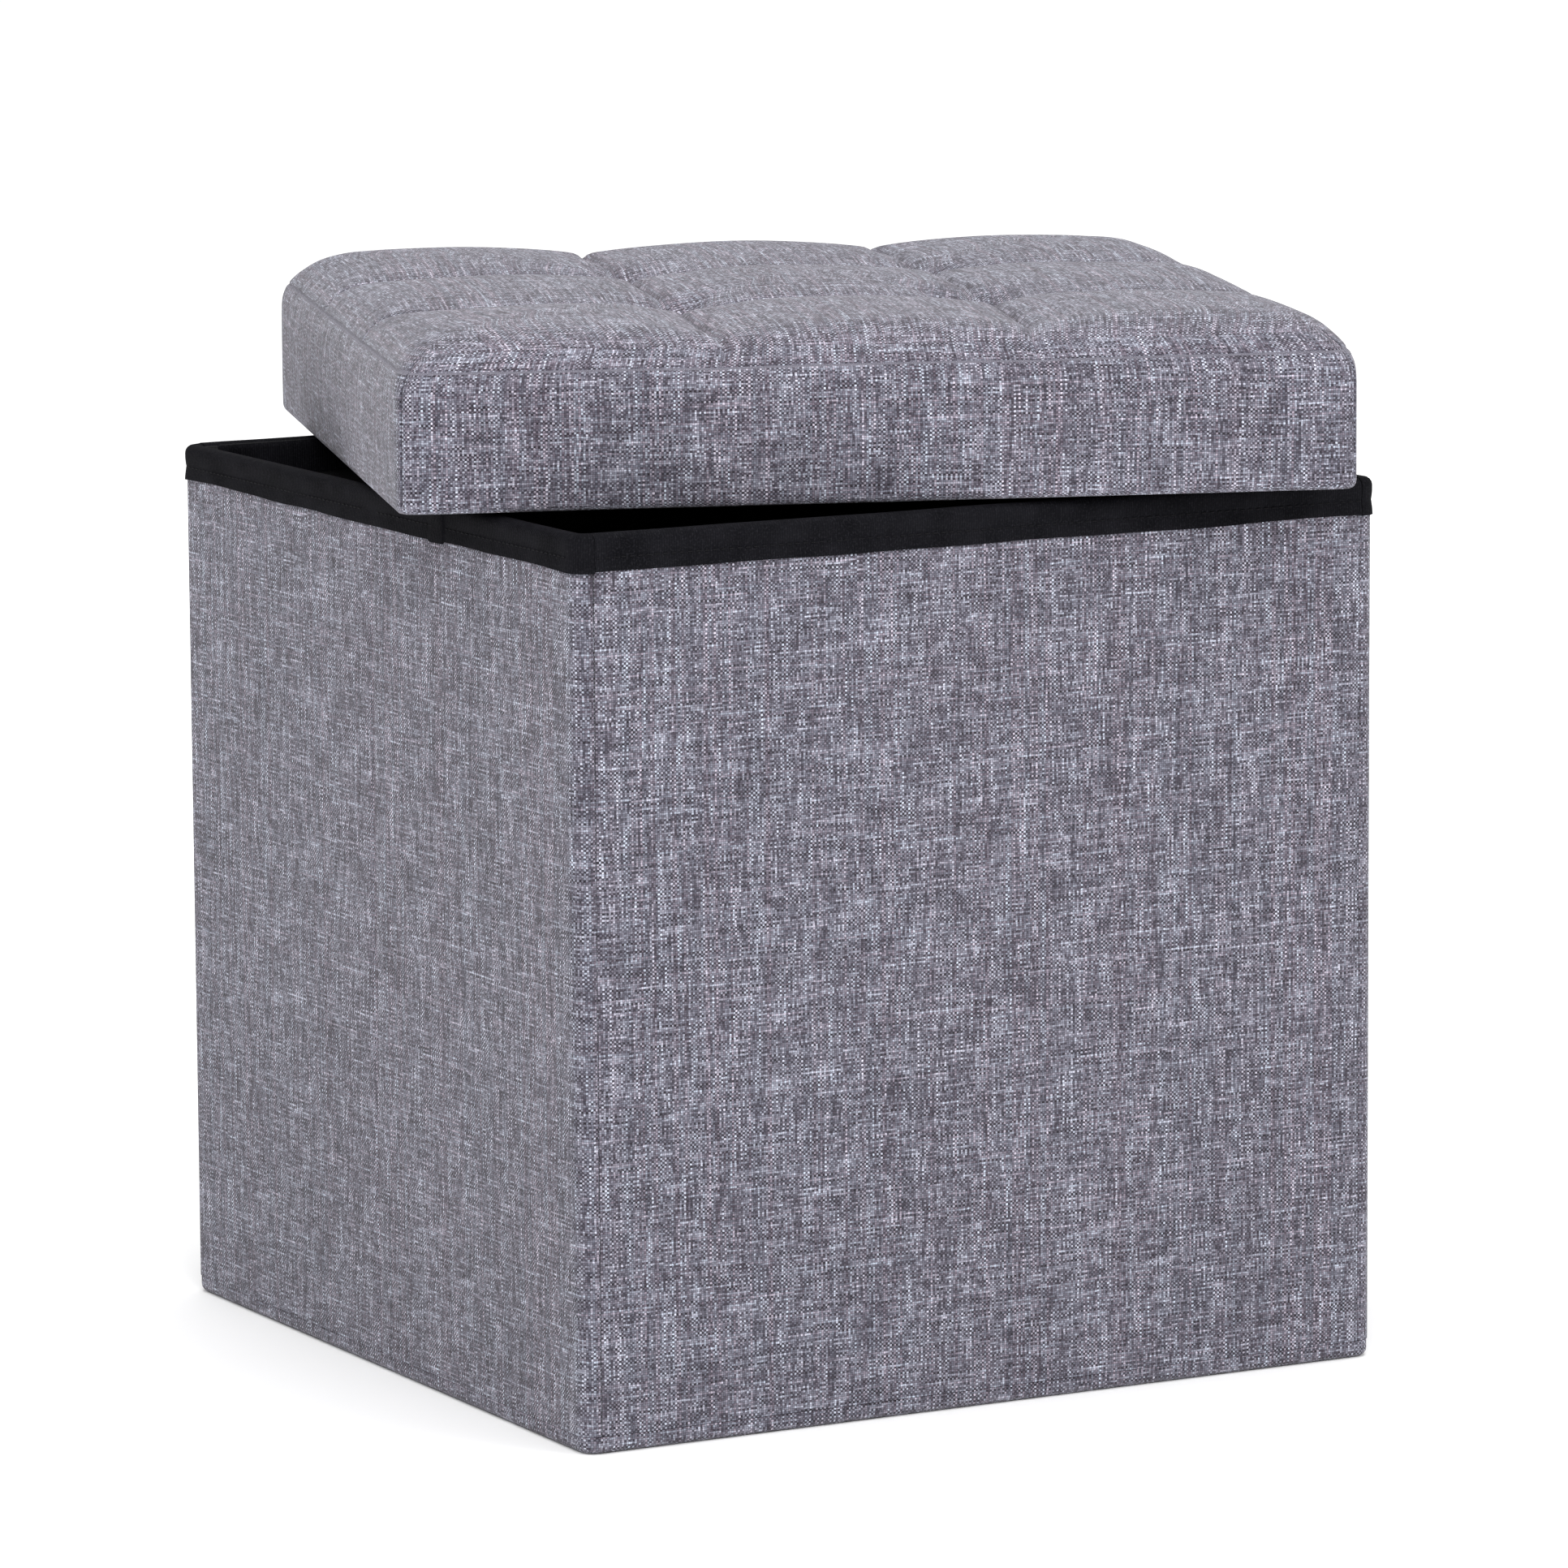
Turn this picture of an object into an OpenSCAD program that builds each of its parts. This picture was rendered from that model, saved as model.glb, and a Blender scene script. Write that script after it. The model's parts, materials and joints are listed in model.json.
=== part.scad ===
// Square folding storage ottoman with a loose padded lid.
// Frame: the origin is the centre of the underside, on the floor. +Z is up and -Y is the front.
// The lid is drawn as it lies at rest: turned clockwise about its front right tuft.

/* [Box] */
// Width over the side covers
body_w = 360; // [300:1:450]
// Depth over the front and back covers
body_d = 360; // [300:1:450]
// Height of the rim above the floor
body_h = 360; // [250:1:450]

/* [Wall layers] */
// Thickness of the outer cover fabric
cover_t = 1; // [0.6:0.1:1.5]
// Thickness of the stiffening boards in the walls
wall_board_t = 4; // [2.5:0.5:6]
// Thickness of the non-woven lining
lining_t = 1; // [0.6:0.1:1.5]

/* [Rim binding] */
// Thickness of the binding tape
binding_t = 1.2; // [0.6:0.1:2]
// How far the tape reaches down outside
binding_out_h = 15; // [10:1:25]
// How far the tape reaches down inside
binding_in_h = 13; // [8:1:25]

/* [Base] */
// Thickness of the floor cloth
floor_t = 1.2; // [0.8:0.1:2]
// Width of the folded hem around the floor
hem_w = 7; // [5:0.5:10]
// Height of the top of the folded hem above the floor
hem_top = 6.5; // [5.5:0.1:9]
// Thickness of the loose base board
base_board_t = 3; // [2:0.5:3.5]
// Thickness of the cloth wrapped round the base board
base_wrap_t = 0.5; // [0.3:0.1:0.8]
// Length of the pull tab on the base board
tab_l = 46; // [25:1:70]
// Width of the pull tab
tab_w = 22; // [12:1:40]
// Thickness of the pull tab
tab_t = 0.9; // [0.5:0.1:1.2]
// Distance of the pull tab from the board's front edge
tab_inset = 12; // [5:1:40]

/* [Lid] */
// Width of the lid
lid_w = 382; // [320:1:480]
// Depth of the lid
lid_d = 382; // [320:1:480]
// Thickness of the whole lid
lid_h = 74; // [50:1:100]
// Height of the perimeter seam above the lid's underside
lid_seam_h = 57; // [30:1:70]
// Radius of the lid's upright corners
lid_corner_r = 9; // [4:1:30]
// Thickness of the lid's cover fabric
lid_cover_t = 1.2; // [0.8:0.1:2]
// Thickness of the board in the lid
lid_board_t = 9; // [5:0.5:15]
// Width of the cover's margin turned under the board
lid_margin_w = 40; // [20:1:60]
// Distance from the lid's edge to the dust cloth
cloth_inset = 13; // [6:1:30]
// Thickness of the dust cloth
cloth_t = 0.6; // [0.4:0.1:1]
// Angle that the lid is turned from square at rest
lid_turn = 18.5; // [0:0.5:30]

/* [Tufts] */
// Diameter of the covered tuft buttons
button_d = 14; // [8:0.5:24]
// Height of the covered tuft buttons
button_h = 5; // [3:0.5:8]
// How far the buttons sit below the crown
button_depth = 14; // [6:1:20]
// Diameter of the twine
twine_d = 2; // [1:0.1:3]
// Diameter of the washers under the board
washer_d = 18; // [10:1:30]
// Thickness of the washers
washer_t = 0.6; // [0.4:0.1:1]

/* [Staples] */
// Staples along each side of the dust cloth
staples_per_side = 7; // [3:1:12]
// Length of a staple's crown
staple_l = 10; // [6:0.5:14]
// Length of a staple's legs
staple_leg = 7; // [4:0.5:10]
// Thickness of a staple's crown
staple_crown_t = 0.4; // [0.3:0.05:0.6]
// Width of the staple wire
staple_wire = 0.9; // [0.5:0.1:1.4]

/* [Clearances] */
// Gap between pieces that turn past each other
fold_gap = 0.3; // [0.2:0.05:0.6]
// Gap at each wall's middle crease
crease_gap = 1; // [0.6:0.1:2]
// Gap between the hem and the folding walls
wall_gap = 0.5; // [0.3:0.1:1]
// Gap between the rim and the lid's dust cloth
lid_gap = 0.8; // [0.5:0.1:2]
// Gap round the loose base board
base_gap = 0.8; // [0.5:0.1:3]

/* [Hidden] */
$fn = 48;

weave = [0.52, 0.52, 0.55];
black = [0.07, 0.07, 0.08];
board = [0.62, 0.5, 0.36];
foam = [0.93, 0.9, 0.78];

// Depth of each layer's outer side, counted outwards from the plane of the corner hinges.
lining_in = binding_t;
board_in = lining_in + lining_t;
board_out = board_in + wall_board_t;
cover_out = board_out + cover_t;
binding_out = cover_out + binding_t;

// The corner hinges stand on these two planes.
hinge_x = body_w / 2 - cover_out;
hinge_y = body_d / 2 - cover_out;
half_len = hinge_y - crease_gap / 2;

wall_bottom = hem_top + wall_gap;
wall_top = body_h - binding_t;
roll_r = board_out - fold_gap;
roll_top = wall_top - fold_gap;
roll_room = roll_r + 1;

base_w = 2 * (hinge_x - base_gap);
base_d = 2 * (hinge_y - base_gap);
base_top = floor_t + base_board_t + 2 * base_wrap_t;

lid_z = body_h + lid_gap;
margin_z = lid_z + cloth_t;
lid_board_z = margin_z + lid_cover_t;
foam_z = lid_board_z + lid_board_t;
seam_z = lid_z + lid_seam_h;
crown_z = lid_z + lid_h;
crown_run = 26;
shoulder_run = 8;
shoulder_z = seam_z + 0.6 * (crown_z - seam_z);

// The tufts cut the top into three by three fields.
tuft_x = lid_w / 6;
tuft_y = lid_d / 6;
other_tufts = [[-tuft_x, -tuft_y], [-tuft_x, tuft_y], [tuft_x, tuft_y]];
all_tufts = concat([[tuft_x, -tuft_y]], other_tufts);
button_z = crown_z - button_depth;
button_room = button_d / 2 + 1.2;
twine_room = twine_d / 2 + 0.7;
washer_z = margin_z + (lid_cover_t - washer_t) / 2;

thin = 0.01;

module rounded_plate(w, d, r, z0, z1) {
    translate([0, 0, z0]) linear_extrude(z1 - z0)
        union() {
            square([w - 2 * r, d], center = true);
            square([w, d - 2 * r], center = true);
            for (sx = [-1, 1], sy = [-1, 1])
                translate([sx * (w / 2 - r), sy * (d / 2 - r)]) circle(r);
        }
}

// Folding walls ---------------------------------------------------------------

// Puts a half wall in its corner. Its own frame has the corner hinge at the origin,
// the outside of the box at -X and +Y, and the wall running along -Y.
module at_corner(side, end) {
    mirror([side > 0 ? 1 : 0, 0, 0]) mirror([0, end < 0 ? 1 : 0, 0])
        translate([-hinge_x, hinge_y, 0]) children();
}

module corner_arc(r0, r1) {
    intersection() {
        difference() {
            circle(r1);
            if (r0 > 0) circle(r0);
        }
        translate([-r1, 0]) square(r1);
    }
}

module half_strip(t0, t1, start = 0) {
    translate([-t1, -half_len]) square([t1 - t0, half_len - start]);
}

module upright(z0, z1) {
    translate([0, 0, z0]) linear_extrude(z1 - z0) children();
}

module half_board(side, end) {
    color(board) at_corner(side, end)
        upright(wall_bottom, wall_top) half_strip(board_in, board_out);
}

module half_cover(side, end) {
    color(weave) at_corner(side, end)
        upright(wall_bottom, wall_top) {
            half_strip(board_out, cover_out);
            corner_arc(board_out, cover_out);
        }
}

module half_lining(side, end) {
    color(black) at_corner(side, end)
        upright(wall_bottom, wall_top) half_strip(lining_in, board_in);
}

module half_binding(side, end) {
    color(black) at_corner(side, end) {
        upright(body_h - binding_out_h, wall_top) {
            half_strip(cover_out, binding_out);
            corner_arc(cover_out, binding_out);
        }
        upright(body_h - binding_in_h, wall_top) half_strip(0, lining_in, fold_gap);
        upright(wall_top, body_h) {
            half_strip(0, binding_out);
            corner_arc(0, binding_out);
        }
    }
}

module corner_roll(side, end) {
    color(black) at_corner(side, end)
        upright(wall_bottom, roll_top)
            intersection() {
                circle(roll_r);
                translate([-roll_r, 0]) square([2 * roll_r, roll_r]);
            }
}

// Front and back walls --------------------------------------------------------

module at_end(end) {
    mirror([0, end < 0 ? 1 : 0, 0]) translate([0, hinge_y, 0]) children();
}

module long_strip(t0, t1, end_gap) {
    translate([-hinge_x + end_gap, t0]) square([2 * (hinge_x - end_gap), t1 - t0]);
}

module long_board(end) {
    color(board) at_end(end)
        upright(wall_bottom, wall_top) long_strip(board_in, board_out, roll_room);
}

module long_cover(end) {
    color(weave) at_end(end)
        upright(wall_bottom, wall_top) long_strip(board_out, cover_out, fold_gap);
}

module long_lining(end) {
    color(black) at_end(end)
        upright(wall_bottom, wall_top) long_strip(lining_in, board_in, roll_room);
}

module long_binding(end) {
    color(black) at_end(end) {
        upright(body_h - binding_out_h, wall_top) long_strip(cover_out, binding_out, fold_gap);
        upright(body_h - binding_in_h, wall_top) long_strip(0, lining_in, roll_room);
        upright(wall_top, body_h) long_strip(0, binding_out, fold_gap);
    }
}

// Base ------------------------------------------------------------------------

module floor_cloth() {
    color(weave) rounded_plate(body_w, body_d, cover_out, 0, floor_t);
}

module floor_hem() {
    color(weave) difference() {
        rounded_plate(body_w, body_d, cover_out, floor_t, hem_top);
        translate([0, 0, (floor_t + hem_top) / 2])
            cube([body_w - 2 * hem_w, body_d - 2 * hem_w, hem_top], center = true);
    }
}

module base_board() {
    color(board) translate([0, 0, floor_t + base_wrap_t + base_board_t / 2])
        cube([base_w - 2 * base_wrap_t, base_d - 2 * base_wrap_t, base_board_t], center = true);
}

module base_board_wrap() {
    color(black) difference() {
        translate([0, 0, (floor_t + base_top) / 2])
            cube([base_w, base_d, base_top - floor_t], center = true);
        base_board();
    }
}

module base_pull_tab() {
    color(black) translate([0, -base_d / 2 + tab_inset, base_top])
        linear_extrude(tab_t) {
            translate([-tab_w / 2, 0]) square([tab_w, tab_l - tab_w / 2]);
            translate([0, tab_l - tab_w / 2]) circle(tab_w / 2);
        }
}

// Lid -------------------------------------------------------------------------

module at_lid() {
    translate([tuft_x, -tuft_y, 0]) rotate(-lid_turn)
        translate([-tuft_x, tuft_y, 0]) children();
}

// The crown's shape, shrunk by t all round.
module crown(t, z0) {
    hull() {
        rounded_plate(lid_w - 2 * t, lid_d - 2 * t, lid_corner_r - t, z0, seam_z);
        rounded_plate(lid_w - 2 * (t + shoulder_run), lid_d - 2 * (t + shoulder_run),
            lid_corner_r + shoulder_run, shoulder_z - t, shoulder_z - t + thin);
        rounded_plate(lid_w - 2 * (t + crown_run), lid_d - 2 * (t + crown_run),
            lid_corner_r + crown_run, crown_z - t - thin, crown_z - t);
    }
}

module tuft_holes(places, r, z0, z1) {
    for (p = places) translate([p[0], p[1], z0]) cylinder(r = r, h = z1 - z0);
}

module lid_board() {
    color(board) at_lid() difference() {
        rounded_plate(lid_w - 2 * lid_cover_t, lid_d - 2 * lid_cover_t, lid_corner_r - lid_cover_t,
            lid_board_z, foam_z);
        tuft_holes(all_tufts, twine_room, lid_board_z - 1, foam_z + 1);
    }
}

module lid_foam() {
    color(foam) at_lid() difference() {
        crown(lid_cover_t, foam_z);
        tuft_holes(all_tufts, twine_room, foam_z - 1, crown_z);
        tuft_holes(all_tufts, button_room, button_z - fold_gap, crown_z + 1);
    }
}

module lid_top_cover() {
    color(weave) at_lid() difference() {
        crown(0, seam_z - thin);
        crown(lid_cover_t, foam_z);
        translate([0, 0, seam_z - 5]) cube([2 * lid_w, 2 * lid_d, 10], center = true);
        tuft_holes(all_tufts, button_room, button_z, crown_z + 1);
    }
}

// One of the four side panels, with its margin turned under the board.
module band(w, d, turn) {
    color(weave) at_lid() rotate(turn) intersection() {
        union() {
            difference() {
                rounded_plate(w, d, lid_corner_r, margin_z, seam_z);
                rounded_plate(w - 2 * lid_cover_t, d - 2 * lid_cover_t, lid_corner_r - lid_cover_t,
                    margin_z - 1, seam_z + 1);
            }
            difference() {
                rounded_plate(w, d, lid_corner_r, margin_z, lid_board_z);
                translate([0, 0, margin_z])
                    cube([w - 2 * lid_margin_w, d - 2 * lid_margin_w, 10], center = true);
            }
        }
        translate([0, 0, margin_z - 1]) linear_extrude(lid_h)
            polygon([[0, w / 2 - d / 2], [-w / 2 - 1, -d / 2 - 1], [w / 2 + 1, -d / 2 - 1]]);
    }
}

module lid_dust_cloth() {
    color(black) at_lid() translate([0, 0, lid_z + cloth_t / 2])
        cube([lid_w - 2 * cloth_inset, lid_d - 2 * cloth_inset, cloth_t], center = true);
}

module staple() {
    translate([0, 0, -staple_crown_t / 2])
        cube([staple_l, staple_wire, staple_crown_t], center = true);
    for (s = [-1, 1])
        translate([s * (staple_l - staple_wire) / 2, 0, staple_leg / 2])
            cube([staple_wire, staple_wire, staple_leg], center = true);
}

module staple_row(w, d) {
    pitch = (w - 2 * cloth_inset - 30) / (staples_per_side - 1);
    for (i = [0:staples_per_side - 1])
        translate([(i - (staples_per_side - 1) / 2) * pitch, -d / 2 + cloth_inset + 5, lid_z])
            staple();
}

module lid_staples() {
    color("silver") at_lid() for (turn = [0, 90, 180, 270])
        rotate(turn) staple_row(turn % 180 == 0 ? lid_w : lid_d, turn % 180 == 0 ? lid_d : lid_w);
}

module button(p) {
    translate([p[0], p[1], button_z]) cylinder(d = button_d, h = button_h / 2);
    translate([p[0], p[1], button_z + button_h / 2])
        cylinder(d1 = button_d, d2 = 0.6 * button_d, h = button_h / 2);
}

module twine(p) {
    translate([p[0], p[1], washer_z + washer_t])
        cylinder(d = twine_d, h = button_z - washer_z - washer_t);
}

module washer(p) {
    translate([p[0], p[1], washer_z]) cylinder(d = washer_d, h = washer_t);
}

module pivot_button() { color(weave) at_lid() button(all_tufts[0]); }
module pivot_twine() { color("white") at_lid() twine(all_tufts[0]); }
module pivot_washer() { color("dimgray") at_lid() washer(all_tufts[0]); }
module tuft_buttons() { color(weave) at_lid() for (p = other_tufts) button(p); }
module tuft_twines() { color("white") at_lid() for (p = other_tufts) twine(p); }
module tuft_washers() { color("dimgray") at_lid() for (p = other_tufts) washer(p); }

floor_cloth();
floor_hem();
base_board();
base_board_wrap();
base_pull_tab();
long_board(1);  // back_board
long_cover(1);  // back_cover
long_lining(1);  // back_lining
long_binding(1);  // back_binding
half_board(-1, 1);  // left_rear_board
half_cover(-1, 1);  // left_rear_cover
half_lining(-1, 1);  // left_rear_lining
half_binding(-1, 1);  // left_rear_binding
corner_roll(-1, 1);  // left_rear_corner_roll
half_board(-1, -1);  // left_front_board
half_cover(-1, -1);  // left_front_cover
half_lining(-1, -1);  // left_front_lining
half_binding(-1, -1);  // left_front_binding
corner_roll(-1, -1);  // left_front_corner_roll
half_board(1, 1);  // right_rear_board
half_cover(1, 1);  // right_rear_cover
half_lining(1, 1);  // right_rear_lining
half_binding(1, 1);  // right_rear_binding
corner_roll(1, 1);  // right_rear_corner_roll
half_board(1, -1);  // right_front_board
half_cover(1, -1);  // right_front_cover
half_lining(1, -1);  // right_front_lining
half_binding(1, -1);  // right_front_binding
corner_roll(1, -1);  // right_front_corner_roll
long_board(-1);  // front_board
long_cover(-1);  // front_cover
long_lining(-1);  // front_lining
long_binding(-1);  // front_binding
pivot_button();
pivot_twine();
pivot_washer();
lid_board();
lid_foam();
lid_top_cover();
band(lid_w, lid_d, 0);  // lid_band_front
band(lid_d, lid_w, 90);  // lid_band_right
band(lid_w, lid_d, 180);  // lid_band_back
band(lid_d, lid_w, 270);  // lid_band_left
lid_dust_cloth();
lid_staples();
tuft_buttons();
tuft_twines();
tuft_washers();
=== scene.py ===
import bpy
import json
from math import acos, atan2, ceil, cos, exp, hypot, pi, radians, sin
from mathutils import Matrix, Vector, noise


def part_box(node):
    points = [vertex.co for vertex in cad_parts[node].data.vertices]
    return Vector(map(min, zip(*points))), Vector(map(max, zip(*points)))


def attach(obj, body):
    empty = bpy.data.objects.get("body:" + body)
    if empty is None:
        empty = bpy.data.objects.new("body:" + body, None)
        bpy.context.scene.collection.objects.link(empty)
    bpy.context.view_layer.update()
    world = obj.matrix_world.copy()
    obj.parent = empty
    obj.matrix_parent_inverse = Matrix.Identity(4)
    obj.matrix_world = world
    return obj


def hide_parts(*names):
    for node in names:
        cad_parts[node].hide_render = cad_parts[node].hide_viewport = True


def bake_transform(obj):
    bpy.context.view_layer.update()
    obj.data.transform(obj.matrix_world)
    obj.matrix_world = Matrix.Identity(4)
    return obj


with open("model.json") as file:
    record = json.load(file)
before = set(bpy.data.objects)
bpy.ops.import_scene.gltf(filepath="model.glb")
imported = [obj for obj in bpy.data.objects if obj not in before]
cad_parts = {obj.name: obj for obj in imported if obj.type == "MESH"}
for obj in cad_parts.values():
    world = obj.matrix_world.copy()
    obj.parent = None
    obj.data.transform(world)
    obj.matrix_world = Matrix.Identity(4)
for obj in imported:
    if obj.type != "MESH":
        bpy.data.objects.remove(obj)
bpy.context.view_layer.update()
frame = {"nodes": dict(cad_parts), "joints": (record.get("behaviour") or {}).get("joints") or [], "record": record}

mm = 0.001


def only(*objs):
    if bpy.context.object and bpy.context.object.mode != "OBJECT":
        bpy.ops.object.mode_set(mode="OBJECT")
    bpy.ops.object.select_all(action="DESELECT")
    for obj in objs:
        obj.select_set(True)
    bpy.context.view_layer.objects.active = objs[0]


def startEdit(obj, kind="VERT"):
    only(obj)
    bpy.ops.object.mode_set(mode="EDIT")
    bpy.ops.mesh.select_mode(type=kind)
    bpy.ops.mesh.select_all(action="SELECT")


def pick(obj, kind, test):
    # selects the faces or edges whose middle and direction pass the test, and stays in edit mode
    startEdit(obj, kind)
    bpy.ops.mesh.select_all(action="DESELECT")
    bpy.ops.object.mode_set(mode="OBJECT")
    mesh = obj.data
    if kind == "FACE":
        for face in mesh.polygons:
            face.select = bool(test(face.center, face.normal))
    else:
        for edge in mesh.edges:
            a, b = (mesh.vertices[i].co for i in edge.vertices)
            edge.select = bool(test((a + b) / 2, (b - a).normalized()))
    bpy.ops.object.mode_set(mode="EDIT")


def endEdit():
    bpy.ops.object.mode_set(mode="OBJECT")


def applyMod(obj, kind, **values):
    only(obj)
    mod = obj.modifiers.new(kind.title(), kind)
    for key, value in values.items():
        setattr(mod, key, value)
    bpy.ops.object.modifier_apply(modifier=mod.name)


def settle(obj):
    only(obj)
    bpy.ops.object.transform_apply(location=True, rotation=True, scale=True)


def block(name, low, high):
    low, high = Vector(low), Vector(high)
    bpy.ops.object.select_all(action="DESELECT")
    bpy.ops.mesh.primitive_cube_add(size=1, location=(low + high) / 2)
    obj = bpy.context.object
    obj.name = obj.data.name = name
    obj.scale = high - low
    settle(obj)
    return obj


def cloth(name, low, high, step, facing):
    # a flat piece of cloth facing along x, y or z; its odd number of strips keeps a row off the middle
    low, high = Vector(low), Vector(high)
    turn = Vector((0, 0, 1)).rotation_difference(Vector(facing)).to_matrix()
    local = turn.transposed() @ (high - low)
    bpy.ops.object.select_all(action="DESELECT")
    bpy.ops.mesh.primitive_grid_add(
        x_subdivisions=2 * ceil(abs(local.x) / step / 2) + 1,
        y_subdivisions=2 * ceil(abs(local.y) / step / 2) + 1,
        size=1, location=(low + high) / 2, rotation=turn.to_euler())
    obj = bpy.context.object
    obj.name = obj.data.name = name
    obj.scale = (abs(local.x), abs(local.y), 1)
    settle(obj)
    return obj


def shape(obj, move):
    for v in obj.data.vertices:
        v.co = move(v.co.copy())
    obj.data.update()


def thicken(obj, thickness, offset=-1):
    applyMod(obj, "SOLIDIFY", thickness=thickness, offset=offset)


def smooth(obj, angle=50):
    only(obj)
    bpy.ops.object.shade_smooth_by_angle(angle=radians(angle))


def wave(p, size, seed=0.0):
    # soft unevenness, from -1 to 1, with bumps of the given size in metres
    return noise.noise(Vector((p.x / size + seed, p.y / size - seed, p.z / size + 2 * seed)))


def near(value, width):
    return exp(-(value / width) ** 2)


def layCloth(obj, where):
    # the piece's own UV map, in metres: where(point, normal) gives the place on the flat cloth
    uv = obj.data.uv_layers.get("cloth") or obj.data.uv_layers.new(name="cloth")
    for face in obj.data.polygons:
        for loop in face.loop_indices:
            co = obj.data.vertices[obj.data.loops[loop].vertex_index].co
            uv.data[loop].uv = where(co, face.normal)


def finishPiece(obj, material, body=None, replaced=()):
    obj.data.materials.clear()
    obj.data.materials.append(material)
    if body:
        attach(obj, body)
    if replaced:
        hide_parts(*replaced)
    return obj


class Nodes:
    # short hand for wiring a material
    def __init__(self, name):
        self.material = bpy.data.materials.new(name)
        self.material.use_nodes = True
        self.tree = self.material.node_tree
        self.tree.nodes.clear()
        self.out = self.add("ShaderNodeOutputMaterial")
        self.shader = self.add("ShaderNodeBsdfPrincipled")
        self.link(self.shader.outputs[0], self.out.inputs["Surface"])

    def add(self, kind, **values):
        node = self.tree.nodes.new(kind)
        for key, value in values.items():
            setattr(node, key, value)
        return node

    def link(self, a, b):
        self.tree.links.new(a, b)

    def put(self, value, socket):
        if isinstance(value, (int, float, tuple, list)):
            socket.default_value = value
        else:
            self.link(value, socket)

    def math(self, operation, a, b=0.0, c=0.0):
        node = self.add("ShaderNodeMath", operation=operation)
        for value, socket in zip((a, b, c), node.inputs):
            self.put(value, socket)
        return node.outputs[0]

    def mix(self, factor, a, b, blend="MIX"):
        node = self.add("ShaderNodeMix", data_type="RGBA", blend_type=blend)
        self.put(factor, node.inputs[0])
        self.put(a, node.inputs[6])
        self.put(b, node.inputs[7])
        return node.outputs[2]

    def vector(self, x, y, z=0.0):
        node = self.add("ShaderNodeCombineXYZ")
        for value, socket in zip((x, y, z), node.inputs):
            self.put(value, socket)
        return node.outputs[0]

    def split(self, source):
        node = self.add("ShaderNodeSeparateXYZ")
        self.link(source, node.inputs[0])
        return node.outputs

    def clothPlace(self):
        return self.split(self.add("ShaderNodeUVMap", uv_map="cloth").outputs[0])

    def objectPlace(self):
        return self.add("ShaderNodeTexCoord").outputs["Object"]

    def noise(self, place, scale, detail=2.0, rough=0.5):
        node = self.add("ShaderNodeTexNoise")
        self.link(place, node.inputs["Vector"])
        node.inputs["Scale"].default_value = scale
        node.inputs["Detail"].default_value = detail
        node.inputs["Roughness"].default_value = rough
        return node.outputs["Fac"]

    def chance(self, place):
        node = self.add("ShaderNodeTexWhiteNoise", noise_dimensions="3D")
        self.link(place, node.inputs["Vector"])
        return node.outputs["Value"]

    def ramp(self, value, stops):
        node = self.add("ShaderNodeValToRGB")
        self.link(value, node.inputs[0])
        elements = node.color_ramp.elements
        while len(elements) < len(stops):
            elements.new(0.5)
        for element, (place, colour) in zip(elements, stops):
            element.position = place
            element.color = (*colour, 1)
        return node.outputs["Color"]

    def span(self, value, low, high, newLow=0.0, newHigh=1.0):
        node = self.add("ShaderNodeMapRange")
        self.link(value, node.inputs[0])
        for i, number in enumerate((low, high, newLow, newHigh)):
            node.inputs[i + 1].default_value = number
        return node.outputs[0]

    def bump(self, height, strength, distance):
        node = self.add("ShaderNodeBump")
        self.put(height, node.inputs["Height"])
        node.inputs["Strength"].default_value = strength
        node.inputs["Distance"].default_value = distance
        self.link(node.outputs[0], self.shader.inputs["Normal"])

    def colour(self, value):
        self.put(value, self.shader.inputs["Base Color"])

    def fixed(self, **values):
        # numbers that are the same all over, set on the shader's own sockets
        for key, value in values.items():
            self.shader.inputs[key.replace("_", " ")].default_value = value


weaveLook = {
    "warpPitch": 0.93 * mm,
    "weftPitch": 0.84 * mm,
    "toneRun": 15 * mm,         # how far a yarn keeps one tone
    "slubRun": 30 * mm,        # length of the thicker, lighter stretches
    "wander": 0.7 * mm,        # how far a yarn strays from its line
    "loopSpread": 0.16,         # how much one loop differs from the next
}


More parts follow.
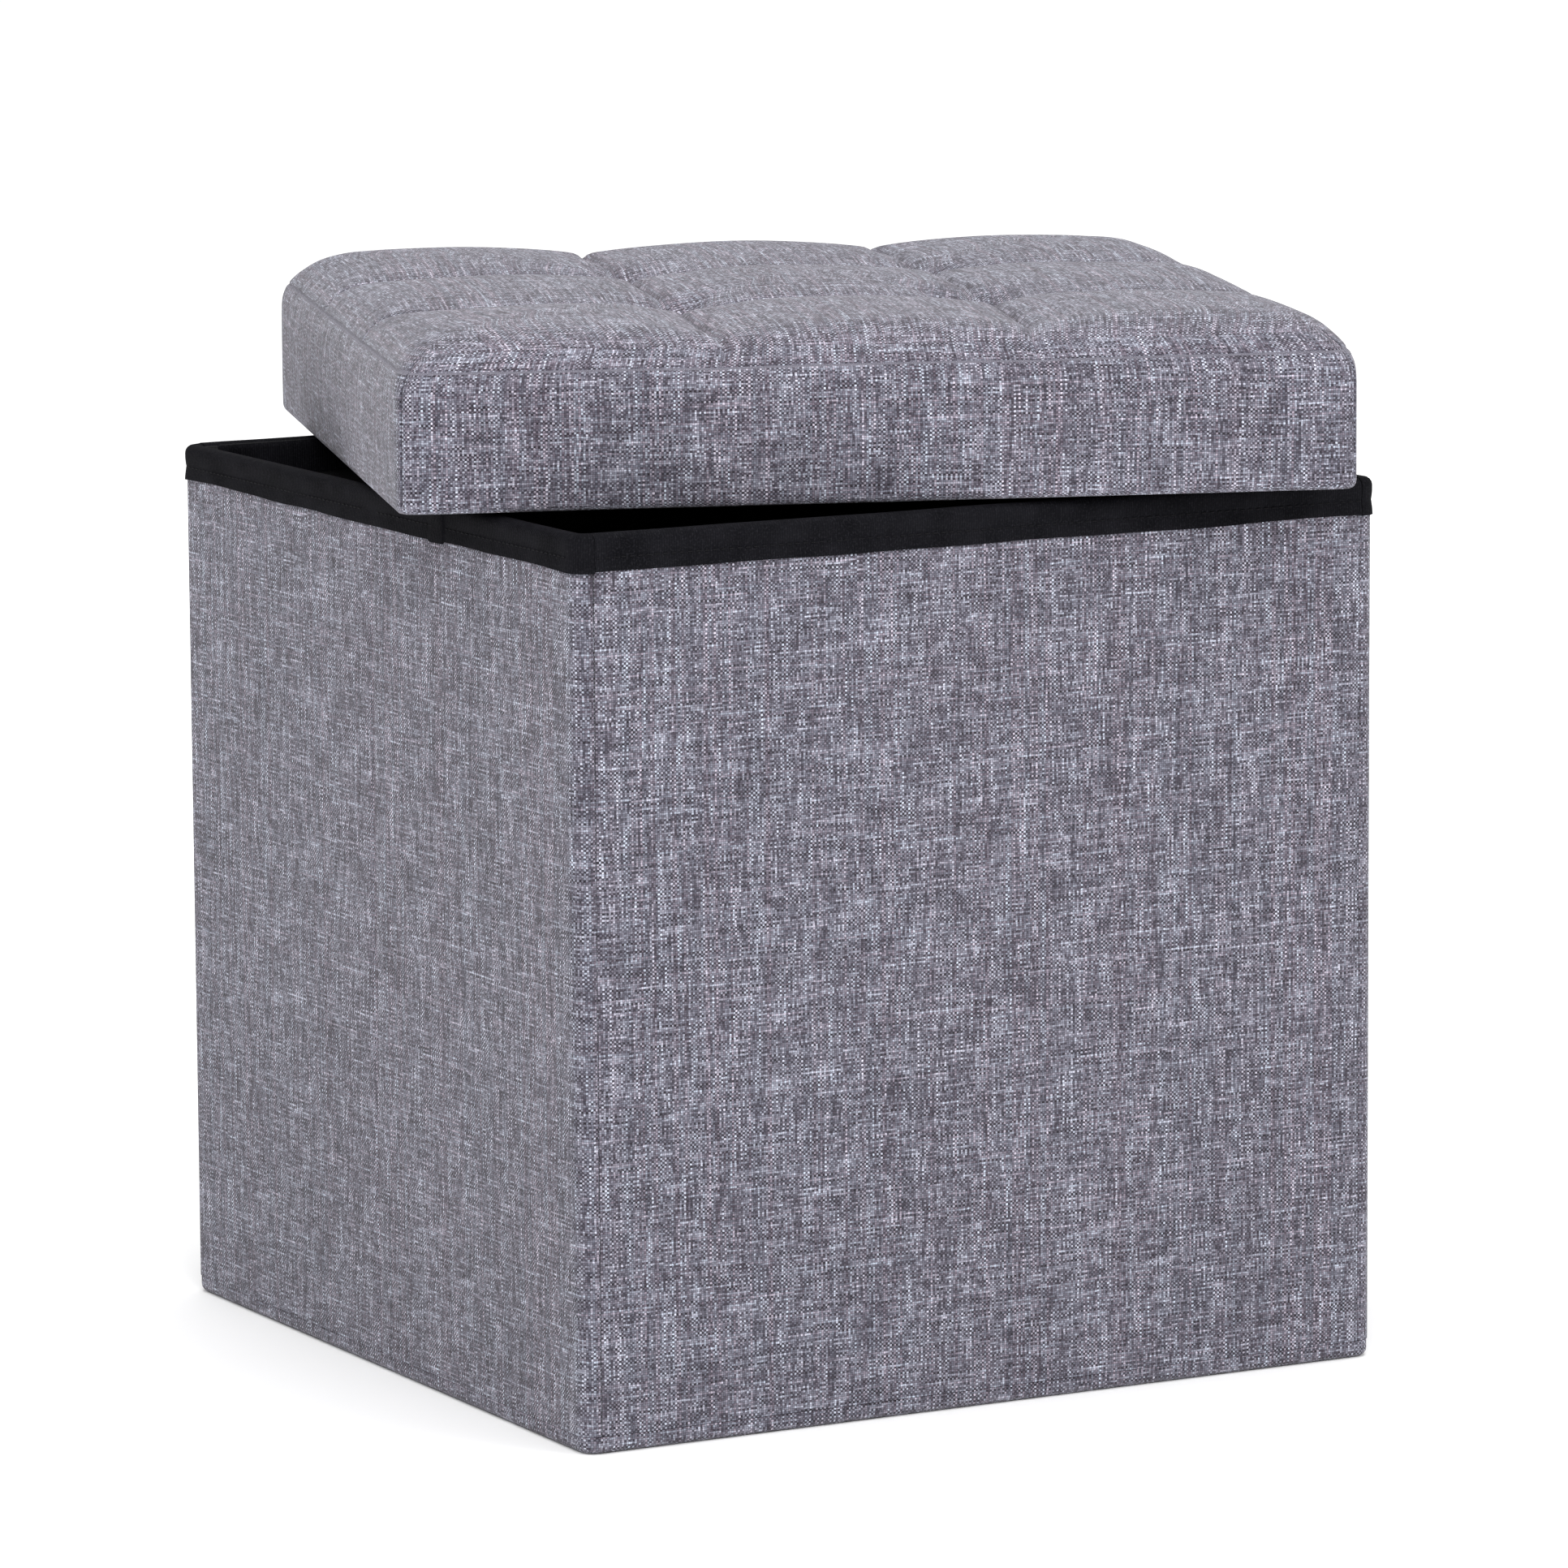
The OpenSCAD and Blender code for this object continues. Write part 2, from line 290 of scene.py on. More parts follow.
def melangeWeave():
    n = Nodes("melangeWeave")
    straightU, straightV, _ = n.clothPlace()

    def wander(value, seed):
        # yarns run a little unevenly, and some are thicker than others
        slow = n.noise(n.vector(straightU, straightV, seed), 130.0, 1.0)
        fast = n.noise(n.vector(straightU, straightV, seed + 1), 700.0, 0.0)
        drift = n.math("ADD", n.math("MULTIPLY", slow, weaveLook["wander"]),
                       n.math("MULTIPLY", fast, weaveLook["wander"] * 0.6))
        return n.math("ADD", value, drift)

    u, v = wander(straightU, 0.0), wander(straightV, 5.0)
    warp = n.math("DIVIDE", u, weaveLook["warpPitch"])
    weft = n.math("DIVIDE", v, weaveLook["weftPitch"])
    warpId, weftId = n.math("FLOOR", warp), n.math("FLOOR", weft)
    acrossWarp = n.math("SUBTRACT", n.math("FRACT", warp), 0.5)
    acrossWeft = n.math("SUBTRACT", n.math("FRACT", weft), 0.5)
    onTop = n.math("MODULO", n.math("ABSOLUTE", n.math("ADD", warpId, weftId)), 2.0)

    def yarnTone(yarnId, along, seed):
        # each yarn is spun from light and dark fibres, so its tone changes from loop to loop and in stretches
        tonePlace = n.math("DIVIDE", along, weaveLook["toneRun"])
        slubPlace = n.math("DIVIDE", along, weaveLook["slubRun"])
        run = n.noise(n.vector(n.math("MULTIPLY", yarnId, 7.31), tonePlace, seed), 1.0, 3.0, 0.7)
        long = n.noise(n.vector(n.math("MULTIPLY", yarnId, 3.17), slubPlace, seed + 4), 1.0, 1.0, 0.5)
        slub = n.span(long, 0.56, 0.78, 0.0, 0.15)
        thin = n.span(long, 0.26, 0.4, -0.12, 0.0)
        loop = n.math("MULTIPLY", n.math("SUBTRACT", n.chance(n.vector(warpId, weftId, seed)), 0.5),
                      weaveLook["loopSpread"])
        return n.math("ADD", n.math("ADD", run, loop), n.math("ADD", slub, thin))

    def yarnTint(yarnId, seed):
        # some yarns are a little redder and some a little bluer
        return n.ramp(n.chance(n.vector(yarnId, seed, 2.4)), [
            (0.0, (1.0, 0.88, 0.9)), (0.35, (0.97, 0.97, 0.98)), (1.0, (0.9, 0.98, 1.0))])

    warpTone = n.ramp(yarnTone(warpId, v, 1.7), [
        (0.3, (0.052, 0.044, 0.061)), (0.46, (0.154, 0.144, 0.181)), (0.58, (0.33, 0.32, 0.38)),
        (0.76, (0.66, 0.67, 0.77))])
    weftTone = n.ramp(yarnTone(weftId, u, 9.2), [
        (0.3, (0.013, 0.009, 0.016)), (0.47, (0.057, 0.048, 0.068)), (0.6, (0.196, 0.185, 0.23)),
        (0.78, (0.58, 0.59, 0.69))])
    warpTone = n.mix(1.0, warpTone, yarnTint(warpId, 5.1), "MULTIPLY")
    weftTone = n.mix(1.0, weftTone, yarnTint(weftId, 8.3), "MULTIPLY")
    # a yarn's round back, and how it dips under its neighbours
    warpSide = n.math("ABSOLUTE", n.math("MULTIPLY", acrossWarp, 2.0))
    weftSide = n.math("ABSOLUTE", n.math("MULTIPLY", acrossWeft, 2.0))
    warpRound = n.math("SUBTRACT", 1.0, n.math("POWER", warpSide, 2.0))
    weftRound = n.math("SUBTRACT", 1.0, n.math("POWER", weftSide, 2.0))
    top = n.math("MULTIPLY", n.math("POWER", warpRound, 0.6), n.math("POWER", weftRound, 0.6))
    tone = n.mix(onTop, weftTone, warpTone)
    fibre = n.noise(n.vector(n.math("MULTIPLY", u, 2600), n.math("MULTIPLY", v, 2600)), 1.0, 1.0, 0.5)
    tone = n.mix(0.3, tone, n.ramp(fibre, [(0.3, (0.4, 0.4, 0.42)), (0.7, (1, 1, 1))]), "MULTIPLY")
    # painted shade: the colour is darkened in the gaps where a yarn dips under its neighbours; the patch noise
    # below adds random lighter and darker tone
    shade = n.span(top, 0.1, 0.8, 0.4, 1.0)
    patch = n.noise(n.vector(u, v), 45.0, 3.0, 0.6)
    shade = n.math("MULTIPLY", shade, n.span(patch, 0.3, 0.7, 0.94, 1.06))
    n.colour(n.mix(1.0, tone, n.vector(shade, shade, shade), "MULTIPLY"))
    n.put(n.span(fibre, 0.2, 0.8, 0.78, 0.95), n.shader.inputs["Roughness"])
    n.bump(top, 0.3, 0.3 * mm)
    n.fixed(Sheen_Weight=0.12, Sheen_Roughness=0.6)
    n.shader.inputs["Specular IOR Level"].default_value = 0.25
    return n.material


def rimTapeMaterial():
    n = Nodes("ribbedTape")
    u, v, _ = n.clothPlace()
    rib = n.math("SINE", n.math("MULTIPLY", u, 2 * pi / (1.05 * mm)))
    nap = n.noise(n.vector(n.math("MULTIPLY", u, 3000), n.math("MULTIPLY", v, 3000)), 1.0, 3.0, 0.6)
    worn = n.noise(n.vector(u, v), 60.0, 3.0, 0.55)
    # lighter flecks about a millimetre across: partly fibre fuzz, partly painted sheen of the velvet nap
    fuzz = n.noise(n.vector(n.math("MULTIPLY", u, 1100), n.math("MULTIPLY", v, 1100)), 1.0, 2.0, 0.6)
    base = n.mix(n.span(worn, 0.3, 0.7), (0.003, 0.003, 0.004, 1), (0.0085, 0.0083, 0.0105, 1))
    base = n.mix(n.span(fuzz, 0.5, 0.75, 0.0, 0.8), base, (0.019, 0.0185, 0.022, 1))
    # painted shade: the colour darkens in the grooves between the ribs
    n.colour(n.mix(n.span(rib, -1.0, 1.0, 0.0, 0.4), base, (0.002, 0.002, 0.003, 1)))
    n.put(n.span(nap, 0.2, 0.8, 0.62, 0.85), n.shader.inputs["Roughness"])
    n.bump(n.math("ADD", n.math("MULTIPLY", rib, -0.5), nap), 0.6, 0.25 * mm)
    n.shader.inputs["Specular IOR Level"].default_value = 0.03
    return n.material


def nonwovenMaterial(name, tone):
    n = Nodes(name)
    place = n.objectPlace()
    x, y, z = n.split(place)
    pitch = 2.4 * mm
    # small pressed dots in a diamond pattern, on whichever two axes the cloth lies in
    oneWay = n.math("ADD", n.math("ADD", x, y), z)
    otherWay = n.math("SUBTRACT", n.math("SUBTRACT", x, y), z)
    dots = n.math("MULTIPLY", n.math("SINE", n.math("MULTIPLY", oneWay, 2 * pi / pitch)),
                  n.math("SINE", n.math("MULTIPLY", otherWay, 2 * pi / pitch)))
    pressed = n.span(dots, 0.55, 0.8)
    fibres = n.noise(place, 1400.0, 4.0, 0.7)
    dark, light = (tone * 0.55, tone * 0.55, tone * 0.6, 1), (tone * 1.6, tone * 1.6, tone * 1.7, 1)
    n.colour(n.mix(fibres, dark, light))
    n.put(n.span(pressed, 0.0, 1.0, 0.9, 0.6), n.shader.inputs["Roughness"])
    n.bump(n.math("SUBTRACT", fibres, n.math("MULTIPLY", pressed, 0.8)), 0.5, 0.2 * mm)
    n.shader.inputs["Specular IOR Level"].default_value = 0.25
    return n.material


def ribbonMaterial():
    n = Nodes("pullRibbon")
    u, v, _ = n.clothPlace()
    rib = n.math("SINE", n.math("MULTIPLY", v, 2 * pi / (1.3 * mm)))
    edge = n.noise(n.vector(n.math("MULTIPLY", u, 2500), n.math("MULTIPLY", v, 2500)), 1.0, 2.0)
    # painted shade: the colour darkens in the grooves between the ribs
    n.colour(n.mix(n.span(rib, -1.0, 1.0), (0.012, 0.012, 0.014, 1), (0.03, 0.03, 0.034, 1)))
    n.put(n.span(edge, 0.2, 0.8, 0.5, 0.75), n.shader.inputs["Roughness"])
    n.bump(n.math("ADD", rib, edge), 0.6, 0.25 * mm)
    return n.material


def fibreboardMaterial():
    n = Nodes("fibreboard")
    place = n.objectPlace()
    chips = n.noise(place, 260.0, 5.0, 0.7)
    clouds = n.noise(place, 18.0, 2.0)
    chipTone = n.ramp(chips, [(0.3, (0.22, 0.14, 0.08)), (0.55, (0.42, 0.3, 0.18)), (0.75, (0.6, 0.47, 0.3))])
    n.colour(n.mix(n.span(clouds, 0.3, 0.7, 0.0, 0.5), chipTone, (0.36, 0.26, 0.16, 1)))
    n.put(n.span(chips, 0.2, 0.8, 0.65, 0.9), n.shader.inputs["Roughness"])
    n.bump(chips, 0.3, 0.3 * mm)
    return n.material


def twineMaterial(name, dark, light, twist):
    n = Nodes(name)
    place = n.objectPlace()
    x, y, z = n.split(place)
    strands = n.math("SINE", n.math("MULTIPLY", n.math("ADD", n.math("ADD", x, y), z), 2 * pi / twist))
    fuzz = n.noise(place, 3000.0, 3.0)
    # painted shade: the colour darkens in the grooves between the twisted strands
    n.colour(n.mix(n.math("MULTIPLY", n.span(strands, -1.0, 1.0), fuzz), dark, light))
    n.put(n.span(fuzz, 0.2, 0.8, 0.55, 0.8), n.shader.inputs["Roughness"])
    n.bump(strands, 0.6, 0.15 * mm)
    return n.material


def washerMaterial():
    n = Nodes("mouldedWasher")
    grain = n.noise(n.objectPlace(), 900.0, 3.0)
    n.colour(n.mix(grain, (0.03, 0.03, 0.032, 1), (0.06, 0.06, 0.064, 1)))
    n.put(n.span(grain, 0.2, 0.8, 0.4, 0.6), n.shader.inputs["Roughness"])
    n.bump(grain, 0.2, 0.1 * mm)
    return n.material


def stapleMaterial():
    n = Nodes("stapleSteel")
    scratch = n.noise(n.objectPlace(), 700.0, 4.0, 0.6)
    n.colour(n.mix(scratch, (0.45, 0.45, 0.46, 1), (0.68, 0.68, 0.7, 1)))
    n.put(n.span(scratch, 0.2, 0.8, 0.25, 0.5), n.shader.inputs["Roughness"])
    n.fixed(Metallic=1.0)
    n.bump(scratch, 0.15, 0.1 * mm)
    return n.material


def foamMaterial():
    n = Nodes("openFoam")
    place = n.objectPlace()
    cells = n.noise(place, 900.0, 4.0, 0.7)
    n.colour(n.mix(cells, (0.55, 0.48, 0.3, 1), (0.85, 0.79, 0.58, 1)))
    n.put(n.span(cells, 0.2, 0.8, 0.8, 0.95), n.shader.inputs["Roughness"])
    n.bump(cells, 0.5, 0.5 * mm)
    return n.material


weaveCloth = melangeWeave()
tapeCloth = rimTapeMaterial()
liningCloth = nonwovenMaterial("blackLining", 0.02)
dustCloth = nonwovenMaterial("blackDustCloth", 0.026)
ribbonCloth = ribbonMaterial()
boardStuff = fibreboardMaterial()
twineStuff = twineMaterial("waxedTwine", (0.4, 0.37, 0.3, 1), (0.82, 0.8, 0.72, 1), 2.2 * mm)
threadStuff = twineMaterial("darkThread", (0.003, 0.003, 0.004, 1), (0.014, 0.013, 0.016, 1), 0.6 * mm)
threadStuff.node_tree.nodes["Principled BSDF"].inputs["Specular IOR Level"].default_value = 0.1
washerStuff = washerMaterial()
stapleStuff = stapleMaterial()
foamStuff = foamMaterial()
print("materials made")

floorLow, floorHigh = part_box("floor_cloth")
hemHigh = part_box("floor_hem")[1]
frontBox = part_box("front_cover")
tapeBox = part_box("left_front_binding")
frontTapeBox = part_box("front_binding")
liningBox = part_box("front_lining")
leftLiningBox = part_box("left_front_lining")
clothT = frontBox[1].y - frontBox[0].y
hingeX = -tapeBox[1].x              # the corner hinges' distance from the middle
hingeY = hingeX + (floorHigh.y - floorHigh.x)
halfW, halfD = floorHigh.x, floorHigh.y
wallLow, wallHigh = frontBox[0].z, frontBox[1].z
rimTop = tapeBox[1].z
creaseX = -tapeBox[0].x             # the middle creases' distance from the middle


def softFace(p, outward, seed):
    # unevenness of cloth drawn over board, strongest in the middle of a wall
    return p + outward * (0.35 * mm + 0.35 * mm * wave(p, 0.11, seed) + 0.12 * mm * wave(p, 0.03, seed))


coverValues = {
    "underTape": 6 * mm,       # how far below the rim the cover ends, inside the tape
    "step": 6 * mm,
    "seamDip": 0.7 * mm,
    "seamWidth": 2.2 * mm,
    "creaseDip": 0.35 * mm,
    "arcSteps": 6,
}


coverTop = rimTop - coverValues["underTape"]


def endCover(name, side):
    # the front or back wall's cover, between the two corner seams
    face = side * halfD
    obj = cloth(name, (frontBox[0].x, face, wallLow), (frontBox[1].x, face, coverTop),
                coverValues["step"], (0, side, 0))
    edge = frontBox[1].x

    def move(p):
        dip = coverValues["seamDip"] * near(edge - abs(p.x), coverValues["seamWidth"])
        q = softFace(p, Vector((0, side, 0)), 3.1 * side)
        q.y -= side * dip
        return q

    for x in (-edge + 1.5 * mm, -edge + 3 * mm, edge - 3 * mm, edge - 1.5 * mm):
        startEdit(obj)
        bpy.ops.mesh.bisect(plane_co=(x, 0, 0), plane_no=(1, 0, 0))
    endEdit()
    shape(obj, move)
    layCloth(obj, lambda p, n: (p.x * side, p.z))
    thicken(obj, clothT)
    smooth(obj)
    return obj


creaseHalf = 0.5 * mm     # a wall's two boards end this far from the middle crease


def cutCrease(obj):
    # rows on both sides of the middle crease and none on it
    for y in (-6 * mm, -3 * mm, -creaseHalf, creaseHalf, 3 * mm, 6 * mm):
        startEdit(obj)
        bpy.ops.mesh.bisect(plane_co=(0, y, 0), plane_no=(0, 1, 0))
        endEdit()


def joinHalves(obj):
    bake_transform(obj)


def spinEnd(obj, test, centre, angle, steps):
    pick(obj, "EDGE", test)
    bpy.ops.mesh.spin(steps=steps, angle=angle, center=centre, axis=(0, 0, 1))
    endEdit()


def sideCover(name, side):
    # a side wall's cover runs round both upright corners to the seams on the front and the back
    face = side * halfW
    obj = cloth(name, (face, -hingeY, wallLow), (face, hingeY, coverTop),
                coverValues["step"], (side, 0, 0))
    cutCrease(obj)
    for end in (-1, 1):
        spinEnd(obj, lambda c, d: abs(c.y - end * hingeY) < 0.1 * mm and abs(d.z) > 0.9,
                (side * hingeX, end * hingeY, 0), radians(-90) * side * end, coverValues["arcSteps"])
    radius = halfW - hingeX

    def along(p):
        # distance along the cloth from the middle of the wall
        if abs(p.y) <= hingeY:
            return p.y
        end = 1 if p.y > 0 else -1
        turn = atan2(abs(p.y) - hingeY, max(abs(p.x) - hingeX, 0.0))
        return end * (hingeY + radius * turn)

    seam = hingeY + radius * pi / 2

    def move(p):
        s = along(p)
        beyond = abs(p.y) - hingeY
        if beyond > 0:
            end = 1 if p.y > 0 else -1
            outward = Vector((p.x - side * hingeX, p.y - end * hingeY, 0)).normalized()
        else:
            outward = Vector((side, 0, 0))
        q = softFace(p, outward, 5.3 * side) if beyond <= 0 else p + outward * 0.35 * mm
        q -= outward * coverValues["seamDip"] * near(seam - abs(s), coverValues["seamWidth"])
        q -= outward * coverValues["creaseDip"] * near(p.y, 2.5 * mm)
        return q

    layCloth(obj, lambda p, n: (along(p) * -side, p.z))
    shape(obj, move)
    thicken(obj, clothT)
    smooth(obj)
    return obj


for side, word, body in ((-1, "front", "front_wall"), (1, "back", "base_and_back")):
    cover = finishPiece(endCover(f"{word}Cover", side), weaveCloth, body, [f"{word}_cover"])
for side, word in ((-1, "left"), (1, "right")):
    cover = finishPiece(sideCover(f"{word}Cover", side), weaveCloth,
                        replaced=[f"{word}_rear_cover", f"{word}_front_cover"])
    joinHalves(cover)
print("covers made")

liningValues = {"step": 9 * mm, "ripple": 0.5 * mm, "clothT": 0.8 * mm}


def liningSheet(name, low, high, facing, seed):
    obj = cloth(name, low, high, liningValues["step"], facing)
    inward = Vector(facing)
    if abs(inward.x) > 0.5:
        cutCrease(obj)
    shape(obj, lambda p: p + inward * liningValues["ripple"] * (0.5 + wave(p, 0.07, seed)))
    layCloth(obj, lambda p, n: (p.x + p.y, p.z))
    thicken(obj, liningValues["clothT"])
    smooth(obj)
    return obj


liningIn = -liningBox[1].y          # lining's inner face, from the middle
for side, word, body in ((-1, "front", "front_wall"), (1, "back", "base_and_back")):
    piece = liningSheet(f"{word}Lining", (liningBox[0].x, side * liningIn, wallLow),
                        (liningBox[1].x, side * liningIn, wallHigh), (0, -side, 0), 1.3 * side)
    finishPiece(piece, liningCloth, body, [f"{word}_lining"])
sideLiningIn = -leftLiningBox[1].x
for side, word in ((-1, "left"), (1, "right")):
    piece = liningSheet(f"{word}Lining", (side * sideLiningIn, -hingeY, wallLow),
                        (side * sideLiningIn, hingeY, wallHigh), (-side, 0, 0), 7.7 * side)
    finishPiece(piece, liningCloth,
                replaced=[f"{word}_rear_lining", f"{word}_front_lining"])
    joinHalves(piece)
print("linings made")

tapeValues = {
    "outsideDepth": rimTop - tapeBox[0].z,
    "roll": 3.4 * mm,              # radius of the tape over the rim
    "stitchUp": 5.5 * mm,          # the stitches' height above the tape's lower edge
    "step": 5 * mm,
    "lapPlace": -0.38,             # the lapped end, as a share of the half depth from the middle
    "lapWidth": 15 * mm,
    "lapProud": 0.8 * mm,
    "clothT": 1 * mm,
    "pull": 0.45 * mm,             # how far the stitches draw it in
    "flare": 0.25 * mm,            # how far its lower edge stands off
    "unevenOut": 0.4 * mm,
    "unevenEdge": 1.2 * mm,
}


def tapeShape(p, outward, along):
    # how the sewn tape lies: pulled in at the stitches, lifting a little below them, uneven over the rim
    q = p.copy()
    up = p.z - (rimTop - tapeValues["outsideDepth"])
    outside = (p - Vector((0, 0, p.z))).dot(outward)
    if outside > outerLine(outward) - 1.6 * mm:
        pull = tapeValues["pull"] * near(up - tapeValues["stitchUp"], 1.6 * mm)
        lift = tapeValues["flare"] * max(0.0, 1 - up / (3 * mm))
        q += outward * (lift - pull + tapeValues["unevenOut"] * wave(Vector((along, 0, 0)), 0.02, 2.2))
        uneven = tapeValues["unevenEdge"] * wave(Vector((along, up, 0)), 0.045, 4.4)
        q.z += uneven * max(0.0, 1 - up / (8 * mm))
    if p.z > rimTop - 5 * mm:
        q.z -= (0.35 + 0.4 * wave(Vector((along, 0, 0)), 0.05, 6.1)) * mm
    return q


def outerLine(outward):
    return creaseX if abs(outward.x) > abs(outward.y) else creaseX + halfD - halfW


def tapeBlock(name, low, high, lengthAxis):
    # a rounded cap over the wall's edge, open below
    obj = block(name, low, high)
    axis = Vector((1, 0, 0)) if lengthAxis == 0 else Vector((0, 1, 0))
    pick(obj, "FACE", lambda c, n: n.z < -0.9 or abs(n.dot(axis)) > 0.9)
    bpy.ops.mesh.delete(type="FACE")
    endEdit()
    pick(obj, "EDGE", lambda c, d: abs(d.dot(axis)) > 0.9 and c.z > rimTop - 1 * mm)
    bpy.ops.mesh.bevel(offset=tapeValues["roll"], segments=4, affect="EDGES")
    endEdit()
    cuts = 2 * int((high[lengthAxis] - low[lengthAxis]) / tapeValues["step"] / 2)
    pick(obj, "EDGE", lambda c, d: abs(d.dot(axis)) > 0.9)
    bpy.ops.mesh.subdivide(number_cuts=cuts)
    endEdit()
    lower = rimTop - tapeValues["outsideDepth"]
    for up in (2, 4, 5.5, 7, 9):
        startEdit(obj)
        bpy.ops.mesh.bisect(plane_co=(0, 0, lower + up * mm), plane_no=(0, 0, 1))
        endEdit()
    return obj


def sideTape(name, side):
    x0, x1 = sorted((side * creaseX, side * hingeX))
    low = (x0, -hingeY, rimTop - tapeValues["outsideDepth"])
    high = (x1, hingeY, rimTop)
    obj = tapeBlock(name, low, high, 1)
    cutCrease(obj)
    for end in (-1, 1):
        spinEnd(obj, lambda c, d: abs(c.y - end * hingeY) < 0.1 * mm and abs(d.y) < 0.1,
                (side * hingeX, end * hingeY, 0), radians(-90) * side * end, 6)
    startEdit(obj)
    bpy.ops.mesh.remove_doubles(threshold=0.05 * mm)
    bpy.ops.mesh.dissolve_degenerate(threshold=0.02 * mm)
    endEdit()
    radius = creaseX - hingeX

    def outwardOf(p):
        beyond = abs(p.y) - hingeY
        if beyond <= 1e-6:
            return Vector((side, 0, 0))
        flat = Vector((p.x - side * hingeX, p.y - (hingeY if p.y > 0 else -hingeY), 0))
        return flat.normalized() if flat.length > 1e-6 else Vector((side, 0, 0))

    def along(p):
        if abs(p.y) <= hingeY:
            return p.y
        end = 1 if p.y > 0 else -1
        return end * (hingeY + radius * atan2(abs(p.y) - hingeY, max(abs(p.x) - hingeX, 1e-9)))

    def move(p):
        outward = outwardOf(p)
        beyond = abs(p.y) - hingeY
        if beyond > 1e-6:
            centre = Vector((side * hingeX, hingeY if p.y > 0 else -hingeY, 0))
            local = p - centre
            flat = hypot(local.x, local.y)
            line = tapeShape(Vector((side * (hingeX + flat), 0, p.z)), Vector((side, 0, 0)), along(p))
            grown = abs(line.x) - hingeX
            return Vector((centre.x + outward.x * grown, centre.y + outward.y * grown, line.z))
        q = tapeShape(p, outward, p.y)
        # the lapped end stands a little proud
        lap = tapeValues["lapPlace"] * halfD
        if side < 0 and 0 <= p.y - lap <= tapeValues["lapWidth"] and abs(p.x) > hingeX + 4 * mm:
            q.x -= tapeValues["lapProud"]
            q.z -= tapeValues["lapProud"] if p.z < rimTop - 10 * mm else 0.0
        return q

    if side < 0:
        lap = tapeValues["lapPlace"] * halfD
        lapEnd = lap + tapeValues["lapWidth"]
        for y in (lap - 0.3 * mm, lap, lapEnd, lapEnd + 0.3 * mm):
            startEdit(obj)
            bpy.ops.mesh.bisect(plane_co=(0, y, 0), plane_no=(0, 1, 0))
            endEdit()
    layCloth(obj, lambda p, n: (along(p), p.z + (abs(p.x) - hingeX) * (1 if n.z > 0.7 else 0)))
    shape(obj, move)
    startEdit(obj)
    bpy.ops.mesh.normals_make_consistent(inside=False)
    endEdit()
    thicken(obj, tapeValues["clothT"])
    smooth(obj, 60)
    return obj


def endTape(name, side):
    y0, y1 = sorted((side * (hingeY + creaseX - hingeX), side * hingeY))
    edge = frontTapeBox[1].x
    obj = tapeBlock(name, (-edge, y0, rimTop - tapeValues["outsideDepth"]), (edge, y1, rimTop), 0)
    layCloth(obj, lambda p, n: (p.x, p.z + (abs(p.y) - hingeY) * (1 if n.z > 0.7 else 0)))
    shape(obj, lambda p: tapeShape(p, Vector((0, side, 0)), p.x + 3.0))
    startEdit(obj)
    bpy.ops.mesh.normals_make_consistent(inside=False)
    endEdit()
    thicken(obj, tapeValues["clothT"])
    smooth(obj, 60)
    return obj


for side, word, body in ((-1, "front", "front_wall"), (1, "back", "base_and_back")):
    piece = finishPiece(endTape(f"{word}Tape", side), tapeCloth, body, [f"{word}_binding"])
for side, word in ((-1, "left"), (1, "right")):
    piece = finishPiece(sideTape(f"{word}Tape", side), tapeCloth,
                        replaced=[f"{word}_rear_binding", f"{word}_front_binding"])
    joinHalves(piece)
print("rim tape made")

stitchValues = {"length": 2.7 * mm, "pitch": 3.6 * mm, "radius": 0.28 * mm, "fromCrease": 7 * mm}


def stitchRow(name, places, material=None):
    # one stitch is modelled, then copied along the row; places is a list of (point, direction)
    bpy.ops.object.select_all(action="DESELECT")
    bpy.ops.mesh.primitive_uv_sphere_add(segments=6, ring_count=4, radius=1)
    first = bpy.context.object
    first.scale = (stitchValues["length"] / 2, stitchValues["radius"], stitchValues["radius"])
    settle(first)
    startEdit(first)
    bpy.ops.transform.resize(value=(1, 1, 1.1))
    endEdit()
    copies = []
    for point, direction in places:
        copy = first.copy()
        copy.data = first.data.copy()
        copy.location = point
        copy.rotation_euler = Vector((1, 0, 0)).rotation_difference(direction).to_euler()
        bpy.context.scene.collection.objects.link(copy)
        copies.append(copy)
    bpy.data.objects.remove(first)
    only(*copies)
    bpy.ops.object.join()
    obj = bpy.context.object
    obj.name = obj.data.name = name
    settle(obj)
    smooth(obj)
    return finishPiece(obj, material or threadStuff)


def rowBetween(a, b):
    a, b = Vector(a), Vector(b)
    count = int((b - a).length / stitchValues["pitch"])
    direction = (b - a).normalized()
    return [(a + direction * stitchValues["pitch"] * (i + 0.5), direction) for i in range(count)]


stitchZ = rimTop - tapeValues["outsideDepth"] + tapeValues["stitchUp"]
stitchOut = creaseX - 0.2 * mm
stitchOutY = hingeY + creaseX - hingeX - 0.2 * mm
for side, word, body in ((-1, "front", "front_wall"), (1, "back", "base_and_back")):
    row = rowBetween((-hingeX, side * stitchOutY, stitchZ), (hingeX, side * stitchOutY, stitchZ))
    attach(stitchRow(f"{word}Stitches", row), body)
for side, word in ((-1, "left"), (1, "right")):
    for end, half in ((-1, "front"), (1, "rear")):
        row = rowBetween((side * stitchOut, end * stitchValues["fromCrease"], stitchZ),
                         (side * stitchOut, end * hingeY, stitchZ))
        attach(stitchRow(f"{word}{half.title()}Stitches", row), f"{word}_{half}")
print("stitches made")

baseValues = {
    "bottomRound": 3 * mm,
    "topRound": 0.25 * mm,
    "hemWidth": 7 * mm,
    "hemRise": 0.4 * mm,
    "boardRound": 0.9 * mm,
    "boardRipple": 0.2 * mm,
    "tabRound": 0.3 * mm,
    "tabSewnIn": 2.5 * mm,      # from the tab's edges to its stitches
    "tabSewnLength": 12 * mm,
}


